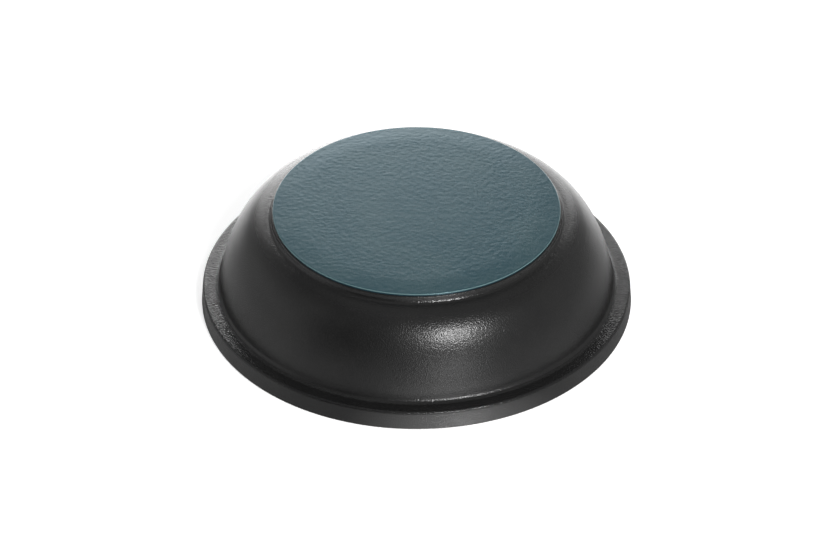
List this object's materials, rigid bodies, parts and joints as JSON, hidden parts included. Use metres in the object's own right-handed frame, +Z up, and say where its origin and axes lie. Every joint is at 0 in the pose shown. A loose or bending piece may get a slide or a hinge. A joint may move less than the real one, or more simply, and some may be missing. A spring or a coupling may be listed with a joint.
{
  "type": "tagine dish",
  "caption": "Round enamelled cast-iron cooking dish of a tagine, standing rim down: raised flat foot, swept wall, and a flanged lip with a seat for a lid inside it.",
  "frame": {"origin": "centre of the rim's plane, on the axis of the dish, where the rim stands on the floor", "axes": "+Z up along the axis of the dish, out of its foot; the picture looks along +Y, down at about 37 degrees"},
  "size_m": [0.2808, 0.2808, 0.07],
  "materials": {
    "iron": "ground, dark",
    "black_enamel": "satin with a fine grain",
    "teal_enamel": "semi-gloss over a rippled casting",
    "inside_enamel": "satin"
  },
  "bodies": {
    "root": {"iron_casting": "iron", "outer_enamel": "black_enamel", "foot_enamel": "teal_enamel", "inner_enamel": "inside_enamel"}
  },
  "joints": []
}
